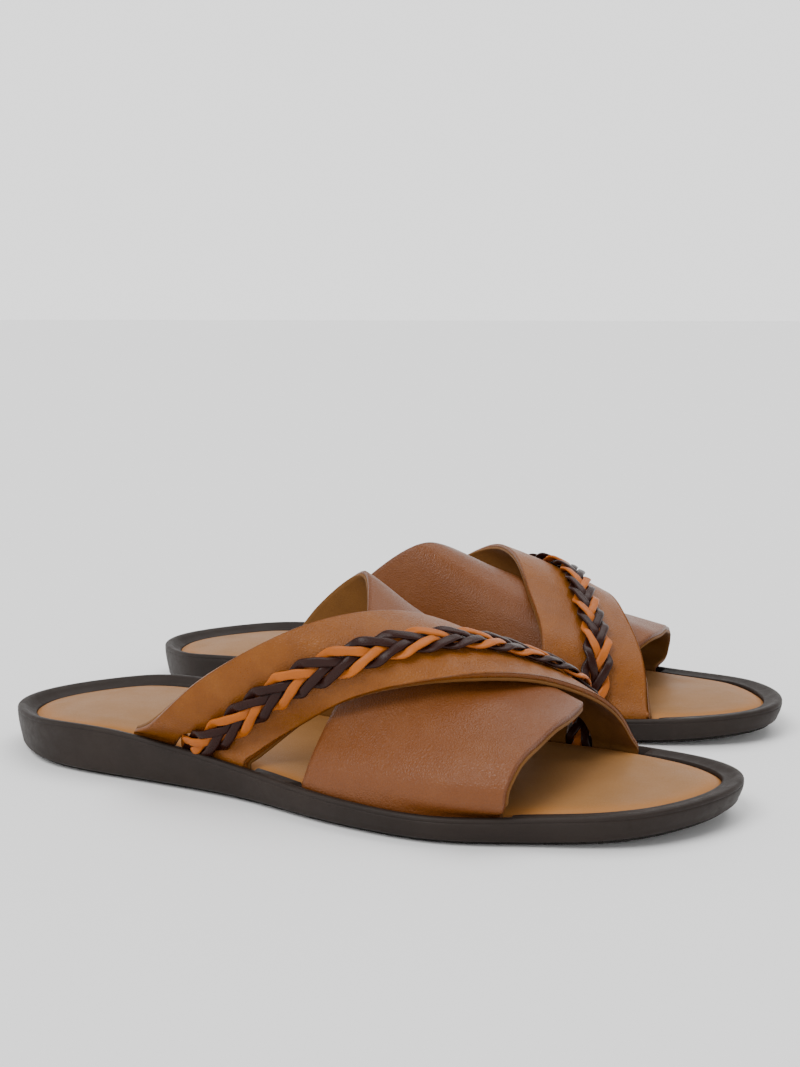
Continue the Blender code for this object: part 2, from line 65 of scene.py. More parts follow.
TREAD_THICKNESS = 2.2
LAYER_GAP = 0.3
CUP_FOOT_INSET = 1.6
CUP_FOOT_ROUND = 1.5
LIP_ROUND = 1.1
BEVEL_INSET = 2.9
BEVEL_DROP = 0.30
CAVITY_DEPTH = 5.0
TREAD_SHOWING = 1.3
TOOTH_PITCH = 0.85
TOOTH_DEPTH = 0.38
SKIRT_INSET = 4.0
CAVITY_INSET = 7.2
POCKET_INSET = 2.6
POCKET_MARGIN = 2.6
POCKET_RAMP = 1.6
POCKET_DEPTH = 5.0

ROLL_DROP = 1.7
ROLL_REACH = 5.2
FOOTBED_LIFT = 0.25
FOOTBED_CROWN = 1.1
CROWN_REACH = 20.0
CENTRE_RISE = 0.55
FOOTBED_SPINE = (42.0, 250.0)
WAVE_LENGTHS = (26.0, 22.0)
WAVE_HEIGHT = 0.22

STRAP_INSET = 5.45
STRAP_DEPTH = 3.4
STRAP_CLEARANCE = 2.8
UPPER_THICKNESS = 1.5
LINING_THICKNESS = 1.15
SHEET_GAP = 0.02
EDGE_ROUND = 0.22
EDGE_SLOPE = 1.3
STRAP_BULGE = 1.2
PRESS_ASIDE = 0.4
PRESS_REACH = 9.0

BRAID_BASES = ((76.0, 127.0), (196.0, 245.0))
BRAID_REAR = ((89.0, -46.8, 25.0), (111.5, -45.8, 44.0), (146.7, -33.4, 63.0),
              (167.8, -8.2, 64.4), (184.5, 18.4, 53.8), (200.6, 46.5, 33.3))
BRAID_FRONT = ((138.5, -34.8, 23.0), (165.8, -37.0, 39.4), (203.4, -24.2, 47.3),
               (225.6, 6.2, 40.6), (240.5, 30.9, 24.5))
PLAIN_BASES = ((152.0, 224.0), (87.0, 158.0))
PLAIN_REAR = ((153.3, -44.5, 18.5), (154.6, -36.5, 27.3), (157.5, -20.0, 44.2),
              (151.7, 4.4, 64.5), (139.5, 25.3, 72.0), (117.2, 35.0, 57.2))
PLAIN_FRONT = ((227.5, -52.8, 14.5), (228.4, -53.8, 19.5), (229.8, -50.0, 25.2),
               (233.0, -32.0, 31.4), (237.2, -9.0, 37.2), (236.4, 4.4, 37.6),
               (229.3, 16.2, 32.0), (203.0, 26.6, 30.0))

STRANDS = 5
DARK_STRANDS = (1, 3, 4)
BRAID_PITCH = 50.0
BRAID_DRIFT = 0.07
BRAID_HALF_TRAVEL = 4.5
BRAID_HALF_DEPTH = 1.05
BRAID_CLEARANCE = 1.1
STRAND_SPREAD = 0.1
STRAND_HALF_WIDTH = 1.68
STRAND_HALF_THICKNESS = 0.68
STRAND_WAVER = 0.09
STRAND_STEP = 0.55
STRAND_SIDES = 20
SWING_SHARPNESS = 0.985
WEAVE_SHARPNESS = 1.9
SLOT_HALF_WIDTH = 5.6
SLOT_HEIGHT = 11.0
SLOT_CUT_DEPTH = 18.0

CAMERA_PLACE = (0.24811, -0.563, 0.16949)
CAMERA_AZIMUTH = 24.05
CAMERA_ELEVATION = 8.08
CAMERA_SENSOR = 36.0
CAMERA_LENS = 52.05796

RING_COUNT = 240


# ---------------------------------------------------------------- curves of the sole

def rail(stations, values, at):
    """Smooth curve through (station, value) pairs, read at the given positions."""
    x = np.asarray(stations, float)
    y = np.asarray(values, float)
    at = np.clip(np.asarray(at, float), x[0], x[-1])
    slope = np.gradient(y, x, axis=0)
    i = np.clip(np.searchsorted(x, at, side="right") - 1, 0, len(x) - 2)
    span = x[i + 1] - x[i]
    t = (at - x[i]) / span
    if y.ndim > 1:
        t = t[:, None]
        span = span[:, None]
    blend = t * t * (3.0 - 2.0 * t)
    return (y[i] * (1.0 - blend) + y[i + 1] * blend
            + span * slope[i] * t * (1.0 - t) ** 2 - span * slope[i + 1] * t * t * (1.0 - t))


def smooth(t):
    t = np.clip(t, 0.0, 1.0)
    return t * t * (3.0 - 2.0 * t)


def rim_height(x):
    return rail(HEIGHT_STATIONS, RIM_HEIGHTS, x)


def ground_lift(x):
    return np.maximum(rail(HEIGHT_STATIONS, GROUND_LIFTS, x), 0.0)


def footbed_height(x):
    return rim_height(x) - rail(HEIGHT_STATIONS, FOOTBED_DROPS, x)


def sole_edge(x, side):
    x = np.asarray(x, float)
    part = np.clip(x / SOLE_LENGTH, 0.0, 1.0)
    roundness = np.sqrt(part * (1.0 - part))
    widths = OUTER_HALF_WIDTHS if side < 0 else INNER_HALF_WIDTHS
    station_part = np.asarray(PLAN_STATIONS) / SOLE_LENGTH
    fullness = np.asarray(widths) / np.sqrt(station_part * (1.0 - station_part))
    axis = HEEL_TIP_Y * (1.0 - part) ** 4 + TOE_TIP_Y * part ** 4
    return axis + side * roundness * rail(PLAN_STATIONS, fullness, x)


def base_outline():
    """Rim outline with points at equal distances, outer side first, starting at the heel."""
    turn = np.linspace(0.0, math.pi, 400)
    x = SOLE_LENGTH / 2.0 * (1.0 - np.cos(turn))
    outer = np.stack([x, sole_edge(x, -1)], axis=1)
    inner = np.stack([x, sole_edge(x, 1)], axis=1)[::-1]

    def even(points):
        step = np.linalg.norm(np.diff(points, axis=0), axis=1)
        length = np.concatenate([[0.0], np.cumsum(step)])
        at = np.linspace(0.0, length[-1], RING_COUNT // 2 + 1)
        return np.stack([np.interp(at, length, points[:, k]) for k in range(2)], axis=1)

    ring = np.vstack([even(outer)[:-1], even(inner)[:-1]])
    for _ in range(6):
        ring = 0.5 * ring + 0.25 * (np.roll(ring, 1, axis=0) + np.roll(ring, -1, axis=0))
    return ring


OUTLINE = base_outline()
ALONG = np.roll(OUTLINE, -1, axis=0) - np.roll(OUTLINE, 1, axis=0)
ALONG /= np.linalg.norm(ALONG, axis=1)[:, None]
INWARD = np.stack([-ALONG[:, 1], ALONG[:, 0]], axis=1)


def outline(inset):
    return OUTLINE + INWARD * inset


def outline_edge(x, side, inset):
    ring = outline(inset)
    half = RING_COUNT // 2
    part = ring[:half + 1] if side < 0 else np.vstack([ring[half:], ring[:1]])[::-1]
    return np.interp(x, part[:, 0], part[:, 1])


def raised(ring, heights):
    return np.column_stack([ring, heights])


# ---------------------------------------------------------------- meshes and placing

SIDES = ("right", "left")
PLACES = {
    "right": Matrix.Translation(Vector((START_X, -PAIR_SPACING / 2.0, 0.0)) * MM),
    "left": Matrix.Translation(Vector((START_X + LEFT_STAGGER, PAIR_SPACING / 2.0, 0.0)) * MM)
            @ Matrix.Diagonal((1.0, -1.0, 1.0, 1.0)),
}


def mesh_from(name, points, faces, uv=None, smooth_shade=True):
    mesh = bpy.data.meshes.new(name)
    mesh.from_pydata([tuple(p) for p in np.asarray(points) * MM], [], faces)
    if uv is not None:
        layer = mesh.uv_layers.new(name="UVMap")
        loops = np.array([loop.vertex_index for loop in mesh.loops])
        layer.data.foreach_set("uv", np.asarray(uv, float)[loops].ravel())
    mesh.validate()
    mesh.update()
    if smooth_shade:
        mesh.shade_smooth()
    return mesh


def place_pair(name, mesh, materials, cad_nodes):
    """One object for each sandal from one mesh, riding on its body and standing for its nodes."""
    for side in SIDES:
        copy = mesh.copy()
        copy.name = f"{side}_{name}"
        copy.transform(PLACES[side])
        if side == "left":
            copy.flip_normals()
        obj = bpy.data.objects.new(f"{side}_{name}", copy)
        bpy.context.scene.collection.objects.link(obj)
        for material in materials:
            obj.data.materials.append(material)
        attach(obj, f"{side}_sandal")
        if cad_nodes:
            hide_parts(*[f"{side}_{node}" for node in cad_nodes])


def loft(rings):
    """Points and faces of a closed loft whose first and last rings are closed across the sole."""
    count = len(rings[0])
    points = np.vstack(rings)
    faces = []
    for k in range(len(rings) - 1):
        for i in range(count):
            j = (i + 1) % count
            faces.append((k * count + i, k * count + j, (k + 1) * count + j, (k + 1) * count + i))
    for base, flip in ((0, True), ((len(rings) - 1) * count, False)):
        for i in range(count // 2):
            across = [base + i, base + i + 1, base + (count - i - 1) % count, base + (count - i) % count]
            corners = list(dict.fromkeys(across))
            faces.append(tuple(corners[::-1] if flip else corners))
    return points, faces


# ---------------------------------------------------------------- materials

def new_material(name):
    material = bpy.data.materials.new(name)
    material.use_nodes = True
    tree = material.node_tree
    shader = tree.nodes["Principled BSDF"]
    return material, tree, shader


def node(tree, kind, inputs=None, **settings):
    made = tree.nodes.new(kind)
    for key, value in settings.items():
        setattr(made, key, value)
    for key, value in (inputs or {}).items():
        if isinstance(value, bpy.types.NodeSocket):
            tree.links.new(value, made.inputs[key])
        else:
            made.inputs[key].default_value = value
    return made


def rgba(colour):
    return (*colour, 1.0)


def ramp(tree, value, stops):
    made = node(tree, "ShaderNodeValToRGB", {"Fac": value})
    elements = made.color_ramp.elements
    while len(elements) < len(stops):
        elements.new(0.5)
    for element, (at, colour) in zip(elements, stops):
        element.position = at
        element.color = rgba(colour)
    return made.outputs["Color"]


def grey(tree, value, low, high, to_low=0.0, to_high=1.0):
    made = node(tree, "ShaderNodeMapRange", {"Value": value, "From Min": low, "From Max": high,
                                             "To Min": to_low, "To Max": to_high})
    return made.outputs["Result"]


def maths(tree, operation, a, b=0.0):
    return node(tree, "ShaderNodeMath", {0: a, 1: b}, operation=operation).outputs[0]


def blend(tree, a, b, share):
    """Two greys added up: a with the given share, b with the rest."""
    return maths(tree, "ADD", maths(tree, "MULTIPLY", a, share), maths(tree, "MULTIPLY", b, 1.0 - share))


def inverse(tree, value):
    return maths(tree, "SUBTRACT", 1.0, value)


def mix(tree, factor, a, b):
    made = node(tree, "ShaderNodeMix", data_type="RGBA")
    for key, value in ((0, factor), (6, a), (7, b)):
        if isinstance(value, bpy.types.NodeSocket):
            tree.links.new(value, made.inputs[key])
        else:
            made.inputs[key].default_value = rgba(value) if isinstance(value, tuple) else value
    return made.outputs[2]


def noise_at(tree, where, scale, detail=4.0, rough=0.55, distortion=0.0):
    return node(tree, "ShaderNodeTexNoise", {"Vector": where, "Scale": scale, "Detail": detail,
                                             "Roughness": rough, "Distortion": distortion}).outputs["Fac"]


def leather(name, dyes, roughness, grain_scale, grain, gloss,
            pores=0.10, sheen=0.0, mottling=0.7, creases=0.0):
    """Smooth full-grain leather: clouded dye, fine cell grain, pores and a few soft creases, with painted
    shade darkening the creases.
    """
    dark, base, light = dyes
    material, tree, shader = new_material(name)
    where = node(tree, "ShaderNodeTexCoord").outputs["Object"]
    clouds = noise_at(tree, where, 38.0, 5.0, 0.6)
    blotches = noise_at(tree, where, 150.0, 4.0, 0.65)
    tone = blend(tree, clouds, blotches, 0.65)
    reach = min(0.22 / mottling, 0.5)
    colour = ramp(tree, tone, ((0.5 - reach, dark), (0.5, base), (0.5 + reach, light)))
    cells = node(tree, "ShaderNodeTexVoronoi", {"Vector": where, "Scale": grain_scale},
                 feature="DISTANCE_TO_EDGE")
    cell_edge = grey(tree, cells.outputs["Distance"], 0.0, 0.30)
    fine = noise_at(tree, where, grain_scale * 1.1, 3.0, 0.6)
    pore = node(tree, "ShaderNodeTexVoronoi", {"Vector": where, "Scale": grain_scale * 0.45})
    pore_dot = grey(tree, pore.outputs["Distance"], 0.05, 0.22)
    furrow = inverse(tree, cell_edge)
    colour = mix(tree, maths(tree, "MULTIPLY", furrow, 0.22), colour, dark)
    colour = mix(tree, maths(tree, "MULTIPLY", inverse(tree, pore_dot), pores), colour, dark)
    wear = noise_at(tree, where, 70.0, 3.0, 0.5)
    rough = maths(tree, "ADD", grey(tree, wear, 0.3, 0.7, -0.05, 0.05), roughness)
    rough = maths(tree, "ADD", rough, maths(tree, "MULTIPLY", furrow, 0.10))
    tree.links.new(rough, shader.inputs["Roughness"])
    height = maths(tree, "ADD", maths(tree, "MULTIPLY", cell_edge, 0.4), fine)
    height = maths(tree, "ADD", height, maths(tree, "MULTIPLY", pore_dot, 0.25))
    bump = node(tree, "ShaderNodeBump", {"Height": height, "Strength": grain, "Distance": 0.0010})
    if creases > 0.0:
        drawn = node(tree, "ShaderNodeMapping", {"Vector": where, "Scale": (1.0, 0.5, 0.5)})
        wrinkle = noise_at(tree, drawn.outputs["Vector"], 330.0, 2.0, 0.5, 1.2)
        ridge = maths(tree, "ABSOLUTE", maths(tree, "SUBTRACT", wrinkle, 0.5))
        patch = grey(tree, noise_at(tree, where, 45.0, 2.0, 0.5), 0.46, 0.62)
        fold_and_painted_shade = maths(tree, "MULTIPLY", grey(tree, ridge, 0.06, 0.0), patch)
        # painted shade: the crease mask also darkens the colour towards the dark dye inside the creases
        colour = mix(tree, maths(tree, "MULTIPLY", fold_and_painted_shade, min(creases * 1.2, 0.5)), colour, dark)
        bump = node(tree, "ShaderNodeBump", {"Height": inverse(tree, fold_and_painted_shade), "Strength": creases,
                                             "Distance": 0.0007, "Normal": bump.outputs["Normal"]})
    tree.links.new(colour, shader.inputs["Base Color"])
    tree.links.new(bump.outputs["Normal"], shader.inputs["Normal"])
    shader.inputs["Specular IOR Level"].default_value = gloss
    shader.inputs["Sheen Weight"].default_value = sheen
    shader.inputs["Sheen Roughness"].default_value = 0.4
    return material


def raw_edge(name, dark, light):
    """Cut edge of leather: fibrous, matt and patchy."""
    material, tree, shader = new_material(name)
    where = node(tree, "ShaderNodeTexCoord").outputs["Object"]
    fibre = noise_at(tree, where, 900.0, 5.0, 0.7)
    patches = noise_at(tree, where, 120.0, 3.0, 0.6)
    tone = blend(tree, fibre, patches, 0.5)
    colour = ramp(tree, tone, ((0.35, dark), (0.65, light)))
    tree.links.new(colour, shader.inputs["Base Color"])
    shader.inputs["Roughness"].default_value = 0.8
    bump = node(tree, "ShaderNodeBump", {"Height": fibre, "Strength": 0.35, "Distance": 0.0003})
    tree.links.new(bump.outputs["Normal"], shader.inputs["Normal"])
    return material


def rubber(name, dark, light, roughness, grain):
    """Matt clouded surface with fine specks and scuffs, also used for the foam and the board."""
    material, tree, shader = new_material(name)
    where = node(tree, "ShaderNodeTexCoord").outputs["Object"]
    clouds = noise_at(tree, where, 30.0, 5.0, 0.6)
    specks = noise_at(tree, where, 2600.0, 3.0, 0.7)
    scuffs = noise_at(tree, where, 220.0, 4.0, 0.7, 0.6)
    tone = blend(tree, clouds, specks, 0.6)
    colour = ramp(tree, tone, ((0.35, dark), (0.68, light)))
    tree.links.new(colour, shader.inputs["Base Color"])
    rough = grey(tree, scuffs, 0.3, 0.7, roughness - 0.07, roughness + 0.08)
    tree.links.new(rough, shader.inputs["Roughness"])
    height = blend(tree, specks, scuffs, 0.6)
    bump = node(tree, "ShaderNodeBump", {"Height": height, "Strength": grain, "Distance": 0.0003})
    tree.links.new(bump.outputs["Normal"], shader.inputs["Normal"])
    shader.inputs["Specular IOR Level"].default_value = 0.2
    return material


def tint_edges(material, dye, strength):
    """Mix a dye in where the mesh marks that a long edge is near."""
    tree = material.node_tree
    shader = tree.nodes["Principled BSDF"]
    plain = shader.inputs["Base Color"].links[0].from_socket
    edge = node(tree, "ShaderNodeAttribute", attribute_name="edge_nearness").outputs["Fac"]
    tinted = mix(tree, maths(tree, "MULTIPLY", edge, strength), plain, dye)
    tree.links.new(tinted, shader.inputs["Base Color"])
    return material


def strap_leather(name, dyes, edge_dye, roughness, gloss, creases):
    """Strap leather whose dye gathers along its two long edges."""
    plain = leather(name, dyes, roughness, grain_scale=1000.0, grain=0.26, gloss=gloss,
                    pores=0.14, creases=creases)
    return tint_edges(plain, edge_dye, 0.4)


def shades(colour, spread):
    """Darker, plain and lighter versions of a dye."""
    return (tuple(c * (1.0 - spread) for c in colour), colour,
            tuple(c * (1.0 + spread * 0.8) for c in colour))


GOLDEN_DYES = ((0.138, 0.039, 0.0025), (0.200, 0.060, 0.004), (0.255, 0.088, 0.012))
GOLDEN_EDGE = (0.085, 0.022, 0.003)
BROWN_DYES = ((0.132, 0.035, 0.0040), (0.150, 0.045, 0.0080), (0.182, 0.065, 0.0190))
BROWN_EDGE = (0.085, 0.022, 0.005)
FOOTBED_DYE = (0.252, 0.118, 0.036)
FOOTBED_EDGE = (0.33, 0.128, 0.024)
LINING_DYE = (0.150, 0.060, 0.010)
DARK_DYE = (0.023, 0.0056, 0.0032)
ORANGE_DYE = (0.37, 0.094, 0.006)

MATERIALS = {
    "sole": rubber("sole_rubber", (0.0135, 0.0084, 0.0064), (0.0240, 0.0165, 0.0128), 0.55, 0.14),
    "tread": rubber("tread_rubber", (0.010, 0.0085, 0.0078), (0.020, 0.017, 0.015), 0.7, 0.2),
    "footbed": tint_edges(leather("footbed_leather", shades(FOOTBED_DYE, 0.16), 0.46, grain_scale=1300.0,
                                  grain=0.10, gloss=0.22, mottling=0.45), FOOTBED_EDGE, 0.75),
    "golden": strap_leather("golden_leather", GOLDEN_DYES, GOLDEN_EDGE, 0.31, 0.23, 0.22),
    "brown": strap_leather("brown_leather", BROWN_DYES, BROWN_EDGE, 0.33, 0.30, 0.10),
    "lining": leather("lining_leather", shades(LINING_DYE, 0.30), 0.60, grain_scale=1300.0,
                      grain=0.14, gloss=0.18, sheen=0.04, mottling=0.6),
    "edge": raw_edge("raw_leather_edge", (0.32, 0.20, 0.105), (0.58, 0.40, 0.24)),
    "dark": leather("dark_strand_leather", shades(DARK_DYE, 0.45), 0.27, grain_scale=1200.0,
                    grain=0.10, gloss=0.18, creases=0.12),
    "orange": leather("orange_strand_leather", shades(ORANGE_DYE, 0.30), 0.36, grain_scale=1300.0,
                      grain=0.10, gloss=0.25, pores=0.12, creases=0.06),
    "foam": rubber("foam", (0.50, 0.43, 0.33), (0.62, 0.55, 0.44), 0.9, 0.3),
    "board": rubber("fibre_board", (0.28, 0.19, 0.12), (0.38, 0.28, 0.18), 0.85, 0.3),
}


def bake_attribute(mesh, name, values):
    layer = mesh.attributes.new(name, "FLOAT", "POINT")
    layer.data.foreach_set("value", np.asarray(values, float))


# ---------------------------------------------------------------- sole

def make_cup():
    """Moulded cup: tapered wall, rounded foot, a thin moulding line, lip, concave bevel."""
    rim = rim_height(OUTLINE[:, 0])
    ceiling = ground_lift(OUTLINE[:, 0]) + TREAD_THICKNESS + LAYER_GAP
    foot = ground_lift(OUTLINE[:, 0]) + TREAD_SHOWING
    bed = rim - np.maximum(rim - footbed_height(OUTLINE[:, 0]), 0.9)
    floor = footbed_height(OUTLINE[:, 0]) - CAVITY_DEPTH
    height = rim - foot
    section = [(SKIRT_INSET + 3.0, ceiling), (SKIRT_INSET, ceiling), (SKIRT_INSET, foot + 0.2),
               (SKIRT_INSET - 0.2, foot), (CUP_FOOT_INSET + CUP_FOOT_ROUND, foot)]
    for turn in np.linspace(0.2, 1.0, 5) * math.pi / 2.0:
        section.append((CUP_FOOT_INSET + CUP_FOOT_ROUND * (1.0 - math.sin(turn)),
                        foot + CUP_FOOT_ROUND * (1.0 - math.cos(turn))))
    for part in np.linspace(0.25, 1.0, 8):
        bow = 0.35 * math.sin(math.pi * part)
        section.append((CUP_FOOT_INSET * (1.0 - part) ** 1.3 - bow * 0.3,
                        foot + CUP_FOOT_ROUND + (height - 3.4) * part))
    section.append((0.12, rim - 1.75))
    section.append((0.25, rim - 1.6))
    section.append((0.10, rim - 1.45))
    for turn in np.linspace(0.0, 1.0, 6) * math.pi / 2.0:
        section.append((LIP_ROUND * (1.0 - math.cos(turn)), rim - LIP_ROUND * (1.0 - math.sin(turn))))
    section.append((2.1, rim - 0.06))
    section.append((BEVEL_INSET, rim - BEVEL_DROP))
    drop = rim - BEVEL_DROP - bed
    for part in np.linspace(0.2, 1.0, 6):
        section.append((BEVEL_INSET + (CAVITY_INSET - BEVEL_INSET) * part,
                        rim - BEVEL_DROP - drop * math.sin(part * math.pi / 2.0)))
    section.append((CAVITY_INSET + 0.05, bed - 1.0))
    section.append((CAVITY_INSET + 0.05, floor))
    rings = [raised(outline(inset), heights) for inset, heights in section]
    points, faces = loft(rings)
    mesh = mesh_from("cup", points, faces)
    cut_pockets(mesh)
    place_pair("sole_cup", mesh, [MATERIALS["sole"]], ["cup_sole"])


def boolean_difference(mesh, cutter_mesh):
    host = bpy.data.objects.new("host", mesh)
    tool = bpy.data.objects.new("tool", cutter_mesh)
    for obj in (host, tool):
        bpy.context.scene.collection.objects.link(obj)
    cut = host.modifiers.new("cut", "BOOLEAN")
    cut.operation = "DIFFERENCE"
    cut.solver = "EXACT"
    cut.object = tool
    bpy.context.view_layer.update()
    result = bpy.data.meshes.new_from_object(host.evaluated_get(bpy.context.evaluated_depsgraph_get()))
    bpy.data.objects.remove(host)
    bpy.data.objects.remove(tool)
    return result


def cut_pockets(mesh):
    """Sink the bevel where a strap goes down behind the lip."""
    co = np.empty(len(mesh.vertices) * 3)
    mesh.vertices.foreach_get("co", co)
    co = co.reshape(-1, 3) / MM
    for side, base in (*zip((-1, 1), BRAID_BASES), *zip((-1, 1), PLAIN_BASES)):
        x = co[:, 0]
        lip = outline_edge(x, side, POCKET_INSET) * side
        cavity = outline_edge(x, side, CAVITY_INSET + 1.0) * side
        y = co[:, 1] * side
        rim = rim_height(x)
        inside = (y < lip) & (y > cavity) & (co[:, 2] > rim - 6.0) & (co[:, 2] < rim + 1.0)
        ends = (smooth((x - base[0] + POCKET_MARGIN) / POCKET_RAMP)
                * smooth((base[1] + POCKET_MARGIN - x) / POCKET_RAMP))
        sink = np.where(inside, ends, 0.0)
        sunk = co[:, 2] * (1 - sink) + (rim - POCKET_DEPTH) * sink
        co[:, 2] = np.where(sink > 0.0, np.minimum(co[:, 2], sunk), co[:, 2])
    mesh.vertices.foreach_set("co", (co * MM).ravel())
    mesh.update()


def make_tread():
    """Thin outsole, flat beneath, with fine upright serrations around its edge."""
    steps = RING_COUNT * 7
    position = np.linspace(0.0, RING_COUNT, steps, endpoint=False)
    index = np.arange(RING_COUNT + 1)

    def fine(values):
        closed = np.vstack([values, values[:1]])
        return np.stack([np.interp(position, index, closed[:, k]) for k in range(closed.shape[1])], axis=1)

    ring = fine(outline(SKIRT_INSET + 0.2))
    inward = fine(INWARD)
    step = np.linalg.norm(np.roll(ring, -1, axis=0) - ring, axis=1)
    length = np.cumsum(step)
    teeth = 0.5 + 0.5 * np.cos(2.0 * math.pi * length / TOOTH_PITCH)
    lift = ground_lift(ring[:, 0])
    rows = []
    for depth, height, cut in ((0.9, 0.02, 0.0), (0.35, 0.05, 0.4), (0.0, 0.5, 1.0), (0.0, 1.9, 1.0),
                               (0.15, TREAD_THICKNESS + LAYER_GAP, 0.6)):
        inset = depth + TOOTH_DEPTH * cut * (1.0 - teeth)
        rows.append(raised(ring + inward * inset[:, None], lift + height))
    points, faces = loft(rows)
    mesh = mesh_from("tread", points, faces, smooth_shade=False)
    place_pair("sole_tread", mesh, [MATERIALS["tread"]], ["tread_plate"])


def make_footbed():
    """Padded cover: rolled edge, a soft crown and slight waves."""
    bed = footbed_height(OUTLINE[:, 0])
    rings = []
    nearness = []
    for inset, drop in ((0.9, 3.9), (0.35, 3.2), (0.1, 2.5), (0.05, 1.9)):
        rings.append(raised(outline(CAVITY_INSET + inset), bed - drop))
        nearness.append(1.0)
    for inset in (0.25, 0.6, 1.1, 1.8, 2.7, 3.8, 5.2, 7.0, 9.0, 11.5):
        ring = outline(CAVITY_INSET + inset)
        roll = ROLL_DROP * (1.0 - min(inset / ROLL_REACH, 1.0)) ** 2.3
        crown = FOOTBED_LIFT + FOOTBED_CROWN * smooth(inset / CROWN_REACH)
        rings.append(raised(ring, footbed_height(ring[:, 0]) + crown - roll))
        nearness.append(float(smooth(1.0 - (inset - 0.6) / 9.0)))
    edge = rings[-1]
    spine_x = np.clip(edge[:, 0], *FOOTBED_SPINE)
    spine_y = (sole_edge(spine_x, -1) + sole_edge(spine_x, 1)) / 2.0
    for share in np.linspace(0.08, 0.97, 14):
        ring = np.stack([edge[:, 0] * (1.0 - share) + spine_x * share,
                         edge[:, 1] * (1.0 - share) + spine_y * share], axis=1)
        rings.append(raised(ring, footbed_height(ring[:, 0]) + crown + CENTRE_RISE * float(smooth(share))))
        nearness.append(0.0)
    points, faces = loft(rings)
    for p in points:
        wave = noise.noise(Vector((p[0] / WAVE_LENGTHS[0], p[1] / WAVE_LENGTHS[1], 3.1)))
        p[2] += wave * WAVE_HEIGHT
    mesh = mesh_from("cover", points, faces)
    bake_attribute(mesh, "edge_nearness", np.repeat(nearness, RING_COUNT))
    place_pair("footbed_cover", mesh, [MATERIALS["footbed"]], ["insole_cover"])


# ---------------------------------------------------------------- straps

def edge_points(bases, free_points, which):
    points = []
    for side, base in ((-1, bases[0]), (1, bases[1])):
        x = base[which]
        y = outline_edge(x, side, STRAP_INSET)
        rim = float(rim_height(x))
        mouth = np.array((x, y, rim + 0.5))
        first = np.array(free_points[0 if side < 0 else -1])
        foot = [(x, y, rim - STRAP_DEPTH), mouth, mouth + (first - mouth) * 0.25]
        points.append(foot if side < 0 else foot[::-1])
    return np.array(points[0] + list(free_points) + points[1], float)


def read_edge(points, fraction):
    steps = np.linalg.norm(np.diff(points, axis=0), axis=1)
    along = np.concatenate([[0.0], np.cumsum(steps)])
    return rail(along / along[-1], points, fraction)


def strap_grid(bases, rear_edge, front_edge, along, across):
    rear = read_edge(edge_points(bases, rear_edge, 0), along)
    front = read_edge(edge_points(bases, front_edge, 1), along)
    v = across[None, :, None]
    grid = rear[:, None, :] * (1.0 - v) + front[:, None, :] * v
    for side, base, nearness in ((-1, bases[0], 1.0 - along), (1, bases[1], along)):
        x = base[0] + (base[1] - base[0]) * across
        straight = grid[0 if side < 0 else -1]
        rim_row = np.stack([x, outline_edge(x, side, STRAP_INSET), rim_height(x) - STRAP_DEPTH], axis=1)
        pull = smooth(nearness * 2.0 - 1.0)
        grid = grid + pull[:, None, None] * (rim_row - straight)[None]
    arch = np.sin(math.pi * along)[:, None] * (4.0 * across * (1.0 - across))[None, :]
    grid[:, :, 2] += STRAP_BULGE * arch
    return grid


def grid_normals(grid):
    normals = np.cross(np.gradient(grid, axis=1), np.gradient(grid, axis=0))
    normals /= np.linalg.norm(normals, axis=2)[:, :, None]
    return -normals if normals[len(normals) // 2, 0, 2] < 0 else normals


def braid_sheet(along, across):
    return strap_grid(BRAID_BASES, BRAID_REAR, BRAID_FRONT, along, across)


def quads(shape):
    rows, columns = shape[:2]
    cells = [r * columns + c for r in range(rows - 1) for c in range(columns - 1)]
    return [(k, k + columns, k + columns + 1, k + 1) for k in cells]


def spread(values, reach, combine):
    """Combine each value of a grid with its neighbours, along and then across."""
    for axis in (0, 1):
        size = values.shape[axis]
        at = np.arange(size)
        values = combine([np.take(values, np.clip(at + k, 0, size - 1), axis=axis)
                          for k in range(-reach, reach + 1)], axis=0)
    return values


def press_under(grid, over, reach):
    """Move a sheet inward, in one smooth dip, wherever it would touch the strap over it."""
    tree = BVHTree.FromPolygons([tuple(p) for p in over.reshape(-1, 3)], quads(over.shape))
    push = np.zeros(grid.shape[:2])
    inward = np.zeros(grid.shape)
    for r, c in np.ndindex(*push.shape):
        point = Vector(grid[r, c])
        near, into, _, _ = tree.find_nearest(point)
        above = (near - point).dot(into)
        aside = (point - near + into * above).length
        inward[r, c] = into
        if aside < PRESS_ASIDE and abs(above) < PRESS_REACH:
            push[r, c] = max(0.0, above + STRAP_CLEARANCE)
    push = spread(push, reach, np.max)
    for _ in range(3):
        push = spread(push, reach // 3, np.mean)
        inward = spread(inward, reach // 3, np.mean)
    inward /= np.linalg.norm(inward, axis=2)[:, :, None]
    return grid + inward * push[:, :, None]


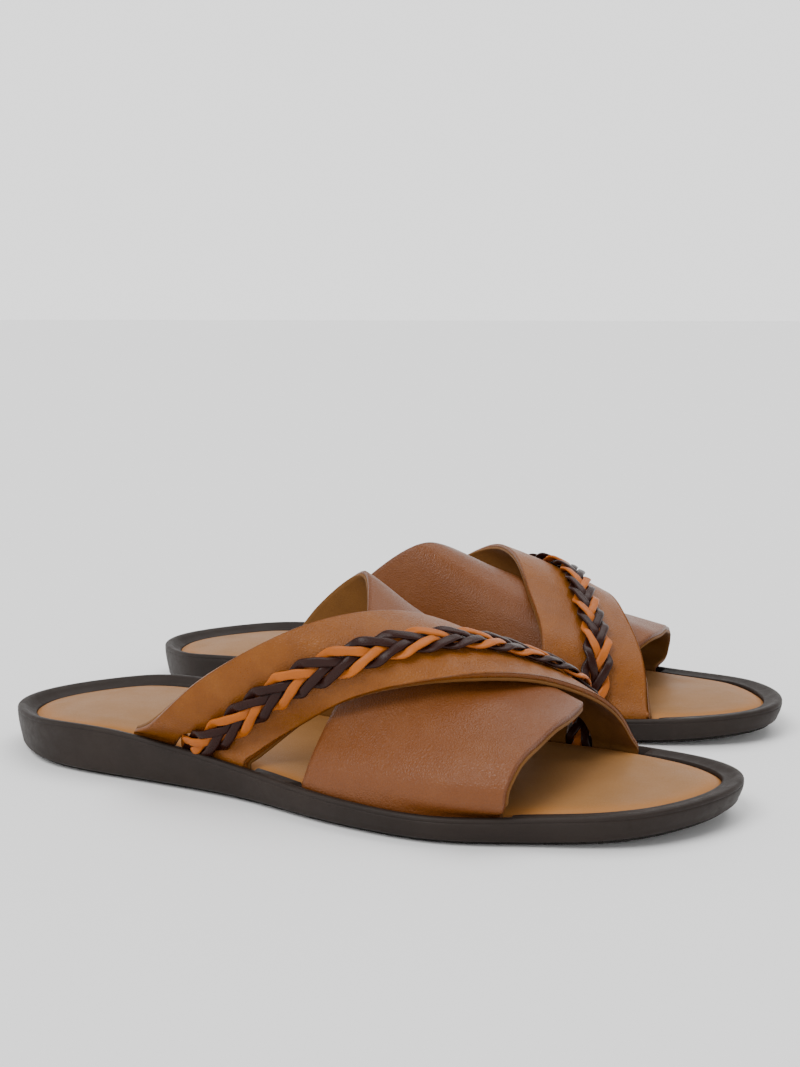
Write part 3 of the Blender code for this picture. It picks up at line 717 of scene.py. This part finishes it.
def slab(grid, normals, low, high, edge_round):
    """Closed slab of leather between two offsets of a sheet, with rounded long edges.

    Returns points, faces, uv and, for each face, whether it is cut edge."""
    rows, columns = grid.shape[:2]
    half = (high - low) / 2.0
    middle = (high + low) / 2.0
    corner = min(edge_round, half * 0.9)
    sideways = np.gradient(grid, axis=1)
    sideways /= np.linalg.norm(sideways, axis=2)[:, :, None]

    def column(c, offset, rounding):
        inward = {0: 1.0, columns - 1: -1.0}.get(c, 0.0)
        slope = EDGE_SLOPE * (offset + LINING_THICKNESS) / (UPPER_THICKNESS + LINING_THICKNESS)
        slope *= 0.15 if c == 0 else 1.0
        return grid[:, c] + normals[:, c] * offset + sideways[:, c] * inward * (slope + rounding)

    upper_corner = middle + half - corner
    lower_corner = middle - half + corner
    section = [column(c, high, corner) for c in range(columns)]
    section += [column(columns - 1, offset, 0.0) for offset in (upper_corner, lower_corner)]
    section += [column(c, low, corner) for c in range(columns - 1, -1, -1)]
    section += [column(0, offset, 0.0) for offset in (lower_corner, upper_corner)]
    ring = len(section)
    points = np.stack(section, axis=1).reshape(-1, 3)
    v = np.linspace(0.0, 1.0, columns)
    ring_v = np.concatenate([v, [1.0, 1.0], v[::-1], [0.0, 0.0]])
    uv = np.stack([np.repeat(np.linspace(0.0, 1.0, rows), ring), np.tile(ring_v, rows)], axis=1)
    edge_cells = {columns, 2 * columns + 2}
    faces = []
    edges = []
    for r in range(rows - 1):
        for k in range(ring):
            j = (k + 1) % ring
            faces.append((r * ring + k, (r + 1) * ring + k, (r + 1) * ring + j, r * ring + j))
            edges.append(k in edge_cells)
    bottom = [2 * columns + 1 - c for c in range(columns)]
    end_cells = [(c, c + 1, bottom[c + 1], bottom[c]) for c in range(columns - 1)]
    end_cells.append((columns - 1, columns, columns + 1, bottom[-1]))
    end_cells.append((bottom[0], 2 * columns + 2, 2 * columns + 3, 0))
    for r, flip in ((0, False), (rows - 1, True)):
        for cell in end_cells:
            quad = [r * ring + k for k in cell]
            faces.append(tuple(quad[::-1] if flip else quad))
            edges.append(True)
    return points, faces, uv, edges


def make_strap(name, grid, material, cutters, upper_slot):
    normals = grid_normals(grid)
    for layer, low, high, outer, slot in (
            ("upper", SHEET_GAP, UPPER_THICKNESS, material, upper_slot),
            ("lining", -LINING_THICKNESS, -SHEET_GAP, "lining", "lining_leather")):
        points, faces, uv, edges = slab(grid, normals, low, high, EDGE_ROUND)
        mesh = mesh_from(f"{name}_{layer}", points, faces, uv)
        mesh.materials.append(None)
        mesh.materials.append(None)
        mesh.polygons.foreach_set("material_index", np.array(edges, int))
        nearness = np.maximum(1.0 - np.minimum(uv[:, 1], 1.0 - uv[:, 1]) * 40.0, 0.0)
        bake_attribute(mesh, "edge_nearness", nearness)
        for cutter in cutters:
            mesh = boolean_difference(mesh, cutter.copy())
        mesh.materials.clear()
        place_pair(f"{name}_{layer}", mesh, [MATERIALS[outer], MATERIALS["edge"]],
                   [f"{name}_{layer}"])


def slot_tool(grid, normals, end):
    """Elliptical cutter for the arched slot at one foot of the braid strap."""
    middle = grid.shape[1] // 2
    rows = grid[:, middle] if end < 0 else grid[::-1, middle]
    facing = normals[:, middle] if end < 0 else normals[::-1, middle]
    rim = float(rim_height(rows[0, 0]))
    count = len(rows) // 4
    height = np.linspace(rim, rim + SLOT_HEIGHT, 3)
    level = [np.array([np.interp(z, rows[:count, 2], rows[:count, k]) for k in range(3)]) for z in height]
    up = Vector(level[2] - level[0]).normalized()
    out = Vector(facing[3])
    side = up.cross(out).normalized()
    out = side.cross(up)
    turn = Matrix((side, up, out)).transposed().to_4x4()
    tool = bpy.data.meshes.new("slot_tool")
    bm = bmesh.new()
    bmesh.ops.create_cone(bm, cap_ends=True, segments=72, radius1=1.0, radius2=1.0, depth=1.0)
    size = Matrix.Diagonal((SLOT_HALF_WIDTH * MM, SLOT_HEIGHT * MM, SLOT_CUT_DEPTH * MM, 1.0))
    bm.transform(Matrix.Translation(Vector(level[0]) * MM) @ turn @ size)
    bm.to_mesh(tool)
    bm.free()
    tool.materials.append(None)
    tool.materials.append(None)
    return tool


def make_straps():
    along = np.linspace(0.0, 1.0, 141)
    across = np.linspace(0.0, 1.0, 41)
    over = braid_sheet(along, across)
    normals = grid_normals(over)
    cutters = [slot_tool(over, normals, -1), slot_tool(over, normals, 1)]
    make_strap("braid_strap", over, "golden", cutters, "golden_leather")
    wide = braid_sheet(np.linspace(0.0, 1.0, 121), np.linspace(-0.05, 1.05, 41))
    under = strap_grid(PLAIN_BASES, PLAIN_REAR, PLAIN_FRONT, along, across)
    make_strap("plain_strap", press_under(under, wide, 9), "brown", [], "brown_leather")


# ---------------------------------------------------------------- braid

def along_share(grid, across, share):
    """For each row of a sheet, its value at that row's own share of the width."""
    return np.array([[np.interp(at, across, row[:, k]) for k in range(3)] for at, row in zip(share, grid)])


def braid_line():
    along = np.linspace(0.0, 1.0, 481)
    across = np.linspace(0.0, 1.0, 21)
    sheet = braid_sheet(along, across)
    middle = 0.5 + BRAID_DRIFT * np.sin(math.pi * along)
    line = along_share(sheet, across, middle)
    normals = along_share(grid_normals(sheet), across, middle)
    steps = np.linalg.norm(np.diff(line, axis=0), axis=1)
    travel = np.concatenate([[0.0], np.cumsum(steps)])
    above = np.minimum(travel, travel[-1] - travel) - STRAP_DEPTH
    outside = UPPER_THICKNESS + BRAID_HALF_DEPTH + BRAID_CLEARANCE
    lift = smooth((above - SLOT_HEIGHT * 0.05) / (SLOT_HEIGHT * 0.4)) * outside + 0.1
    line = line + normals * lift[:, None]
    heading = np.gradient(line, axis=0)
    sideways = np.cross(heading, normals)
    sideways /= np.linalg.norm(sideways, axis=1)[:, None]
    outward = np.cross(sideways, heading)
    outward /= np.linalg.norm(outward, axis=1)[:, None]
    steps = np.linalg.norm(np.diff(line, axis=0), axis=1)
    length = np.concatenate([[0.0], np.cumsum(steps)])
    return length, (line, sideways, outward)


def make_braid():
    """Five flat thongs, each crossing over two and under two of the others."""
    length, directions = braid_line()
    for strand in range(STRANDS):
        at = np.arange(0.0, length[-1], STRAND_STEP)
        line, sideways, outward = (
            np.stack([np.interp(at, length, values[:, k]) for k in range(3)], axis=1)
            for values in directions)
        phase = at / BRAID_PITCH + strand / STRANDS
        swing = np.arcsin(SWING_SHARPNESS * np.cos(2.0 * math.pi * phase)) / math.asin(SWING_SHARPNESS)
        depth = np.tanh(WEAVE_SHARPNESS * np.sin(4.0 * math.pi * phase)) / math.tanh(WEAVE_SHARPNESS)
        travel = BRAID_HALF_TRAVEL + STRAND_SPREAD
        centre = (line + sideways * (travel * swing)[:, None]
                  + outward * (BRAID_HALF_DEPTH * depth)[:, None])
        heading = np.gradient(centre, axis=0)
        heading /= np.linalg.norm(heading, axis=1)[:, None]
        width_way = np.cross(heading, outward)
        width_way /= np.linalg.norm(width_way, axis=1)[:, None]
        up_way = np.cross(width_way, heading)
        width_half = STRAND_HALF_WIDTH + STRAND_WAVER * np.sin(at * 0.9 + strand)
        ring = []
        sides = STRAND_SIDES
        for k in range(sides):
            turn = 2.0 * math.pi * k / sides
            c, s = math.cos(turn), math.sin(turn)
            flat = math.copysign(abs(c) ** 0.70, c)
            tall = math.copysign(abs(s) ** 0.85, s)
            ring.append(centre + width_way * (width_half * flat)[:, None]
                        + up_way * (STRAND_HALF_THICKNESS * tall))
        points = np.stack(ring, axis=1).reshape(-1, 3)
        rows = len(at)
        faces = []
        for r in range(rows - 1):
            for k in range(sides):
                j = (k + 1) % sides
                faces.append((r * sides + k, r * sides + j, (r + 1) * sides + j, (r + 1) * sides + k))
        faces.append(tuple(range(sides))[::-1])
        faces.append(tuple((rows - 1) * sides + k for k in range(sides)))
        mesh = mesh_from(f"strand_{strand + 1}", points, faces)
        look = "dark" if strand in DARK_STRANDS else "orange"
        place_pair(f"strand_{strand + 1}", mesh, [MATERIALS[look]], [f"braid_strand_{strand + 1}"])


# ---------------------------------------------------------------- setting

def make_stage():
    floor = bpy.data.meshes.new("studio_floor")
    bm = bmesh.new()
    bmesh.ops.create_grid(bm, x_segments=1, y_segments=1, size=40.0)
    bm.to_mesh(floor)
    bm.free()
    ground = bpy.data.objects.new("studio_floor", floor)
    bpy.context.scene.collection.objects.link(ground)
    material, _, shader = new_material("studio_floor")
    shader.inputs["Base Color"].default_value = (0.90, 0.90, 0.90, 1.0)
    shader.inputs["Roughness"].default_value = 0.9
    ground.data.materials.append(material)
    ground.location.z = -0.0002


def make_sun(name, source, strength, angle):
    data = bpy.data.lights.new(name, "SUN")
    data.energy = strength
    data.angle = math.radians(angle)
    light = bpy.data.objects.new(name, data)
    light.rotation_euler = Vector(source).to_track_quat("Z", "Y").to_euler()
    bpy.context.scene.collection.objects.link(light)


def make_lights():
    """White studio sweep that is brightest low down, with broad soft lights above."""
    world = bpy.data.worlds.new("studio")
    bpy.context.scene.world = world
    world.use_nodes = True
    tree = world.node_tree
    where = node(tree, "ShaderNodeTexCoord").outputs["Generated"]
    height = node(tree, "ShaderNodeSeparateXYZ", {"Vector": where}).outputs["Z"]
    glow = node(tree, "ShaderNodeMapRange", {"Value": height, "From Min": 0.22, "From Max": 0.6,
                                             "To Min": 1.75, "To Max": 0.40},
                interpolation_type="SMOOTHSTEP").outputs["Result"]
    background = tree.nodes["Background"]
    background.inputs["Color"].default_value = (1.0, 1.0, 1.0, 1.0)
    tree.links.new(glow, background.inputs["Strength"])
    make_sun("key", (-0.25, -0.65, 0.95), 2.3, 34.0)
    make_sun("top", (0.15, 0.45, 1.2), 1.7, 50.0)


def make_camera():
    azimuth = math.radians(CAMERA_AZIMUTH)
    elevation = math.radians(CAMERA_ELEVATION)
    data = bpy.data.cameras.new("camera")
    data.sensor_fit = "VERTICAL"
    data.sensor_height = CAMERA_SENSOR
    data.lens = CAMERA_LENS
    data.clip_start = 0.01
    camera = bpy.data.objects.new("camera", data)
    camera.location = CAMERA_PLACE
    back = Vector((math.sin(azimuth) * math.cos(elevation), -math.cos(azimuth) * math.cos(elevation),
                   math.sin(elevation)))
    camera.rotation_euler = back.to_track_quat("Z", "Y").to_euler()
    bpy.context.scene.collection.objects.link(camera)
    bpy.context.scene.camera = camera


def dress_hidden_layers():
    for side in SIDES:
        for name, look in (("footbed_foam", "foam"), ("insole_board", "board")):
            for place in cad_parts[f"{side}_{name}"].material_slots:
                place.material = MATERIALS[look]


make_camera()
make_cup()
make_tread()
make_footbed()
make_straps()
make_braid()
dress_hidden_layers()
make_stage()
make_lights()
